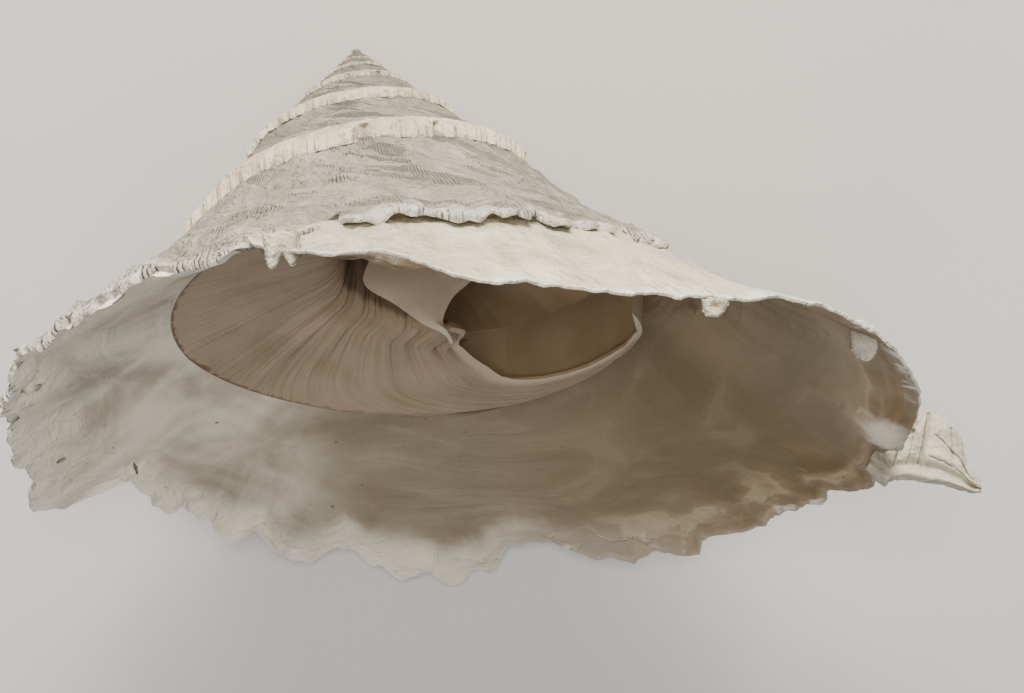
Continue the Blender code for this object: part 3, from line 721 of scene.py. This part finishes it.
# Worn holes through the thin left flange: place on the shell, and half widths, in millimetres
wornHoles = {"raggedness": 0.35,
             "holes": [((-61.1, -14.0, -64.2), (1.3, 2.3, 7.0)),
                       ((-59.8, -12.4, -64.2), (0.8, 1.2, 7.0)),
                       ((-63.0, -6.8, -64.7), (1.2, 1.0, 7.0)),
                       ((-63.1, 20.8, -66.8), (1.0, 0.7, 7.0)),
                       ((-52.0, 36.5, -66.2), (0.4, 1.7, 7.0))]}


def makeHole(place, reach):
    deselectAll()
    bpy.ops.mesh.primitive_uv_sphere_add(segments=18, ring_count=12, radius=1.0)
    blob = bpy.context.object
    blob.data.uv_layers[0].name = "growth"
    for finish in shellFinishes:
        blob.data.materials.append(finish)
    co = np.array([vertex.co[:] for vertex in blob.data.vertices])
    rough = grain(co[:, 0] * 1.7 + place[0], co[:, 1] * 1.7, co[:, 2])
    ragged = 1.0 + wornHoles["raggedness"] * rough
    co = co * ragged[:, None] * np.array(reach) + np.array(place)
    blob.data.vertices.foreach_set("co", toRoom(co).ravel())
    blob.data.update()
    return blob


merge(shell, [makeHole(place, reach) for place, reach in wornHoles["holes"]], "DIFFERENCE")


spireForm = {"turns": 6, "rows": 212, "cols": 30, "skirtFold": 0.11, "ridge": 0.35,
             "bead": 2.7, "ledgeDepth": 6.0}


def olderTurn(index, half):
    first = -index - 1.05 + 0.5 * half
    last = -index - 0.5 + 0.5 * half
    steps = int(spireForm["rows"] / (0.6 + 0.4 * index))
    turn = np.linspace(first, last, steps + 1)[:, None]
    size = sizeAt(turn)
    share = np.linspace(0.0, 1.0, spireForm["cols"])[None, :] ** 0.8
    sunk = np.where(turn < -index - 1.0, 0.5, 0.0) * size
    r, d = roofAt(turn, share)
    skirt = ease((share - 0.66) / 0.10)
    folds = ((grain(turn * 60.0, share * 2.0, 4.4) + 0.7 * grain(turn * 150.0, share * 3.0, 6.1))
             * skirt * spireForm["skirtFold"])
    phase = turn + 0.16 * share
    ridges = (grain(phase * 110.0, share * 5.0, 7.0) * spireForm["ridge"]
              + grain(turn * 36.0, share * 5.0, 2.0) * 0.5)
    crust = np.abs(grain(turn * 70.0, share * 12.0, 12.0)) * 0.9 * (1.0 - skirt)
    relief = ((folds * 2.0 + crust + ridges * ease(share / 0.1)) * np.sqrt(size)
              * (1.0 - ease((share - 0.97) / 0.03) * 0.6))
    bead = np.sin(np.pi * np.clip((share - 0.60) / 0.44, 0.0, 1.0))
    bead = bead * (spireForm["bead"] + grain(turn * 20.0, 3.0) * 0.9) * size
    top = atTurn(turn, r - sunk * share + bead * 0.8, d + sunk - relief - bead * 0.5)
    rimR, rimD = roofAt(turn, np.ones((1, 1)))
    thick = spireForm["ledgeDepth"] * size
    points = [top]
    for part, out in ((0.25, 0.35), (0.55, 0.40), (0.85, 0.2)):
        points.append(atTurn(turn, rimR + out * size - sunk + folds[:, -1:] * 0.8, rimD
                             + thick * part - sunk))
    points.append(atTurn(turn, rimR - 0.3 * size - sunk, rimD + thick - sunk))
    path = np.linspace(0.0, 0.62, 16)
    radius, drop = [line[None, :] for line in spread(spiral["baseProfile"], path)]
    points.append(atTurn(turn, radius * size, drop * size - sunk))
    points.append(atTurn(turn, 2.0 * size, spiral["baseProfile"][4][1] * size * 0.9))
    points.append(atTurn(turn, 2.0 * size, sutureAt(turn)[1] * 0.8))
    points.append(top[:, :1])
    loop = np.concatenate(points, axis=1)
    under = np.linspace(1.3, 1.8, len(path))
    spots = (np.concatenate([share[0], [1.0, 1.0, 1.0, 1.01], under, [1.85, 1.9, 2.0]])[None, :]
             + np.zeros_like(turn))
    chart = np.stack([turn * np.ones((1, loop.shape[1])), spots], axis=-1)
    return grownSheet("turn%d%d" % (index, half), loop, chart,
                      lambda u, v: np.where(v <= 1.02, 0, 3))


def coreCone():
    rings = np.array([(0.4, 0.0), (0.9, 0.4), (0.8, 1.2), (0.9, 3.0), (2.2, 16.0), (4.0, 30.0)])
    turn = np.linspace(0.0, 1.0, 25)[None, :]
    points = atTurn(turn, rings[:, :1], rings[:, 1:])
    chart = np.stack([turn * 0.1 - 6.0 + np.zeros((len(rings), 1)), np.full((len(rings), 25), 0.5)],
                     axis=-1)
    return grownSheet("core", points, chart, lambda u, v: np.zeros_like(u))


spire = coreCone()
for index in range(spireForm["turns"], 0, -1):
    merge(spire, [olderTurn(index, 0), olderTurn(index, 1)])
spire.name = "shellSpire"
print("spire made", len(spire.data.polygons))


# The carried pieces. Each is drawn in millimetres to the right of, above and in front of its
# anchor, as seen by someone who looks into the mouth.

sight = np.array([[0.9938, 0.0365, -0.1053], [0.1114, -0.3259, 0.9388], [0.0, -0.9447, -0.3279]])

shard = {"anchor": (95.0, 12.2, -86.4), "thickness": 2.6, "rows": 130, "cols": 90,
         "crackDepth": 0.5,
         # bands: top right, top up, bottom right, bottom up, front
         "bands": [(-5.6, 5.6, -10.6, -3.4, -0.6), (-3.7, 7.2, -7.6, -6.7, 1.9),
                   (-3.0, 6.9, -6.2, -5.7, 0.2), (-1.4, 6.6, -4.4, -5.4, 1.1),
                   (0.1, 6.7, -2.4, -5.5, 0.3), (1.2, 7.1, -0.9, -5.8, 2.2),
                   (3.9, 5.4, 2.4, -6.2, 1.7), (6.6, 2.2, 6.2, -7.2, 0.9),
                   (7.4, -1.8, 8.6, -7.9, 0.2), (10.1, -5.2, 10.2, -7.7, -0.3)],
         "profile": [(0.0, -0.5), (0.4, 0.2), (0.68, 0.0), (0.78, -1.1), (0.90, 0.9), (1.0, -0.4)],
         # grooves: place, depth, width; cracks: from band and height to band and height
         "grooves": [(1.75, 0.9, 0.13), (3.15, 0.35, 0.12), (4.35, 0.9, 0.14)],
         "cracks": [(5.4, 0.30, 7.6, 0.52), (6.3, 0.05, 6.6, 0.62), (6.45, 0.40, 8.3, 0.50),
                    (5.2, 0.62, 8.8, 0.70)],
         "hole": (2.75, 0.27), "holeSize": 0.75, "stainAt": (-2.9, 2.7, -1.0), "stain": 0.0006}
bits = {"lipPlate": {"anchor": (80.6, -31.6, -78.9), "thickness": 1.1, "bulge": 0.5,
                     "node": "lip_plate",
                     "rows": [(-2.3, 1.9, -2.2, -1.6), (-1.4, 3.3, -1.2, -2.7),
                              (0.2, 3.2, 0.3, -3.4), (1.5, 2.3, 1.6, -2.6), (2.3, 0.9, 2.2, -0.9)]},
        "frillBit": {"anchor": (-9.7, -70.8, -67.2), "thickness": 1.3, "bulge": 1.2,
                     "node": "frill_bit",
                     "rows": [(-3.0, 2.2, -2.6, -1.2), (-2.2, 2.3, -1.9, -2.9),
                              (-1.0, 2.4, -0.9, -2.8), (0.2, 2.5, 0.1, -1.0), (1.2, 2.6, 1.5, -2.7),
                              (2.4, 2.6, 2.9, -1.2)]},
        "marginBit": {"anchor": (54.6, -57.2, -79.0), "thickness": 1.8, "bulge": 0.8,
                      "node": "margin_bit",
                      "stain": 0.0009,
                      "rows": [(-1.9, 0.8, -1.7, -1.0), (-0.8, 1.2, -1.0, -1.7),
                               (0.4, 1.1, 0.4, -1.8), (1.4, 1.2, 1.3, -1.2), (2.2, 0.9, 2.1, 0.0)]}}


def brokenPlate(name, anchor, front, thickness, seed):
    # front is a grid of right, up and front places. The back lies behind it, and the edges are
    # chipped.
    rows, cols = front.shape[:2]
    u, v = np.linspace(0.0, 1.0, rows)[:, None], np.linspace(0.0, 1.0, cols)[None, :]
    edge = 1.0 - ease(np.minimum(np.minimum(u, 1.0 - u) * 7.0, np.minimum(v, 1.0 - v) * 7.0))
    front = front.copy()
    front[:, :, 0] += grain(u * 23.0, v * 19.0, seed) * 0.28 * edge
    front[:, :, 1] += grain(u * 21.0, v * 23.0, seed + 5.0) * 0.28 * edge
    waves = grain(u * 9.0, v * 9.0, seed + 9.0) * 0.25
    chips = grain(u * 30.0, v * 30.0, seed + 2.0) * 0.10
    front[:, :, 2] += waves + chips - 0.25 * edge ** 3
    back = front.copy()
    back[:, :, 2] = front[:, :, 2] - thickness * (1.0 - 0.35 * edge ** 2)
    loop = np.concatenate([front, back[:, ::-1], front[:, :1]], axis=1)
    points = np.array(anchor) + loop @ sight
    spot = np.concatenate([v[0], 2.0 - v[0, ::-1], [2.0]])
    chart = np.stack(np.broadcast_arrays(u, spot[None, :]), axis=-1)
    return grownSheet(name, points, chart, lambda a, b: np.zeros_like(a), capSlot=0)


def makeShard():
    bands = np.array(shard["bands"])
    u = np.linspace(0.0, len(bands) - 1.0, shard["rows"])
    v = np.linspace(0.0, 1.0, shard["cols"])
    across = [np.interp(u, np.arange(len(bands)), bands[:, n])[:, None] for n in range(5)]
    x = across[0] * (1 - v) + across[2] * v
    y = across[1] * (1 - v) + across[3] * v
    z = across[4] + softAlong(shard["profile"], v)[None, :] + np.zeros_like(x)
    u = u[:, None]
    for place, depth, width in shard["grooves"]:
        bend = place + 0.10 * grain(v[None, :] * 5.0, place)
        z = z - depth * np.exp(-((u - bend) / width) ** 2) * ease((0.80 - v) / 0.06)
    for a0, b0, a1, b1 in shard["cracks"]:
        onward = (u - a0) * (a1 - a0) + (v - b0) * (b1 - b0) * 60
        t = np.clip(onward / ((a1 - a0) ** 2 + (b1 - b0) ** 2 * 60), 0.0, 1.0)
        wander = 0.12 * grain(u * 3.0, v * 12.0, a0)
        away = np.hypot(u - a0 - (a1 - a0) * t, (v - b0 - (b1 - b0) * t) * 8.0 + wander)
        z = z - shard["crackDepth"] * np.exp(-(away / 0.10) ** 2)
    hu, hv = shard["hole"]
    hole = np.hypot((u - hu) * 1.3, (v - hv) * 12.0)
    z = z - 1.9 * (1.0 - ease((hole - shard["holeSize"] * 0.55) / 0.35))
    z = z - 0.8 * np.exp(-((u - hu) / 0.10) ** 2) * np.exp(-((v - 0.16) / 0.05) ** 2)
    return brokenPlate("shellShard", shard["anchor"], np.stack([x, y, z], axis=-1),
                       shard["thickness"], 3.0)


def makeBit(name, form, seed):
    u, v = np.linspace(0.0, 1.0, 44), np.linspace(0.0, 1.0, 40)
    ends = [line[:, None] for line in spread(form["rows"], u)]
    x = ends[0] * (1 - v) + ends[2] * v
    y = ends[1] * (1 - v) + ends[3] * v
    z = form["bulge"] * np.sin(np.pi * u)[:, None] * np.sin(np.pi * (0.15 + 0.7 * v))[None, :]
    if name == "frillBit":   # two hollow lobes that hang side by side
        z = z + 0.7 * np.cos(4.0 * np.pi * (u[:, None] - 0.25)) * v[None, :]
    if name == "marginBit":   # a pit in a ragged lump
        z = z - 1.2 * np.exp(-((u[:, None] - 0.45) / 0.16) ** 2 - ((v[None, :] - 0.45) / 0.2) ** 2)
    return brokenPlate(name, form["anchor"], np.stack([x, y, z], axis=-1), form["thickness"], seed)


crumb = {"white": (0.43, 0.395, 0.315), "grey": (0.27, 0.24, 0.185), "groove": (0.16, 0.125, 0.085),
         "stain": (0.50, 0.36, 0.18)}


def makeCrumb(name, stainAt, stainSize):   # broken, chalky shell, darker in its grooves
    f = Finish(name)
    room = f.room
    cloud, grit = f.noise(room, 230.0, 4.0, 0.6), f.noise(room, 1700.0, 4.0, 0.7)
    pits = f.noise(room, 700.0, 3.0, 0.5)
    tone = f.ramp(cloud * 0.7 + grit * 0.3,
                  [(0.36, crumb["grey"]), (0.47, crumb["white"]), (0.66, (0.56, 0.52, 0.43))])
    tone = f.blend(f.creases(0.485, 0.40) * 0.8, tone, crumb["groove"])
    away = f.awayFrom(stainAt) + cloud * stainSize * 0.8
    tone = f.blend((1.0 - f.between(away, stainSize, stainSize * 1.7)) * 0.85, tone, crumb["stain"])
    return f.finish(tone, 0.62 + cloud * 0.15, cloud * 0.6 + pits * 0.35 + grit * 0.12, 0.0010,
                    0.35)


carried = [("shell_shard", makeShard())]
for seed, (name, form) in enumerate(bits.items()):
    carried.append((form["node"], makeBit(name, form, 11.0 + 7.0 * seed)))
for node, made in carried:
    middle = np.array([vertex.co[:] for vertex in made.data.vertices]).mean(axis=0)
    spot, reach = ((0.0, 0.0, 1.0), 0.001)
    if node == "shell_shard":
        stainAt = np.array(shard["anchor"]) + np.array(shard["stainAt"]) @ sight
        spot, reach = spotInRoom(stainAt), shard["stain"]
    if node == "margin_bit":
        spot, reach = tuple(middle), bits["marginBit"]["stain"]
    look = makeCrumb("broken_" + node, spot, reach)
    made.data.materials.clear()
    made.data.materials.append(look)
    made.data.polygons.foreach_set("material_index", [0] * len(made.data.polygons))
    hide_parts(node)
print("carried pieces made")


creaseAngle = 50.0


def settle(made):   # nothing sinks below the ground, and faces shade smoothly
    co = np.empty(len(made.data.vertices) * 3)
    made.data.vertices.foreach_get("co", co)
    co = co.reshape(-1, 3)
    co[:, 2] = np.maximum(co[:, 2], 0.0)
    made.data.vertices.foreach_set("co", co.ravel())
    made.data.update()
    deselectAll()
    made.select_set(True)
    bpy.context.view_layer.objects.active = made
    bpy.ops.object.shade_smooth_by_angle(angle=math.radians(creaseAngle))


for piece in [shell, spire] + [made for node, made in carried]:
    settle(piece)
    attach(piece, "root")
for piece in (shell, spire):
    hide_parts("shell")


room = {"floor": (0.72, 0.71, 0.69), "key": 29.0, "fill": 3.0, "front": 9.0, "sky": 0.30,
        "focalPixels": 2341.36, "pictureWidth": 1024.0, "sensorWidth": 36.0}


def makeFloor():
    deselectAll()
    bpy.ops.mesh.primitive_plane_add(size=6.0, location=(0.0, 0.0, 0.0))
    floor = bpy.context.object
    floor.name = "floor"
    look = bpy.data.materials.new("paleFloor")
    look.use_nodes = True
    shader = look.node_tree.nodes["Principled BSDF"]
    shader.inputs["Base Color"].default_value = (*room["floor"], 1.0)
    shader.inputs["Roughness"].default_value = 0.85
    floor.data.materials.append(look)


def softLight(name, place, target, size, power, colour):
    deselectAll()
    bpy.ops.object.light_add(type="AREA", location=place)
    light = bpy.context.object
    light.name = name
    light.data.shape = "SQUARE"
    light.data.size = size
    light.data.energy = power
    light.data.color = colour
    light.rotation_mode = "QUATERNION"
    light.rotation_quaternion = (Vector(target) - Vector(place)).to_track_quat("-Z", "Y")


makeFloor()
world = bpy.data.worlds.new("room")
bpy.context.scene.world = world
world.use_nodes = True
sky = world.node_tree.nodes.get("Background") or world.node_tree.nodes.new("ShaderNodeBackground")
sky.inputs["Color"].default_value = (1.0, 0.985, 0.96, 1.0)
sky.inputs["Strength"].default_value = room["sky"]

# The camera's place and directions on the shell's own axes, as the photograph shows it
eye = (22.919, -396.262, -199.704)
axes = np.array([[0.99376804, 0.03655244, -0.10530434], [0.11146787, -0.32587549, 0.93881845],
                 [0.0, -0.94470582, -0.32791907]])
turned = axes @ np.array(restTurn).T
bpy.ops.object.camera_add()
camera = bpy.context.object
camera.name = "camera"
camera.data.sensor_width = room["sensorWidth"]
camera.data.lens = room["focalPixels"] * room["sensorWidth"] / room["pictureWidth"]
camera.data.clip_start = 0.01
camera.matrix_world = (Matrix.Translation(Vector(spotInRoom(eye)))
                       @ Matrix(turned.T.tolist()).to_4x4())
bpy.context.scene.camera = camera

upward = Vector(turned[1])
toward = Vector(turned[2])
softLight("key", (upward * 0.75 + toward * 0.85), (0.0, 0.0, 0.04), 0.45, room["key"],
          (1.0, 0.94, 0.84))
softLight("front", (upward * 0.12 + toward * 1.25), (0.0, 0.0, 0.05), 0.5, room["front"],
          (1.0, 0.95, 0.87))
softLight("fill", (-0.5, -0.7, 0.9), (0.0, 0.0, 0.04), 0.9, room["fill"], (1.0, 0.98, 0.95))
print("room made")
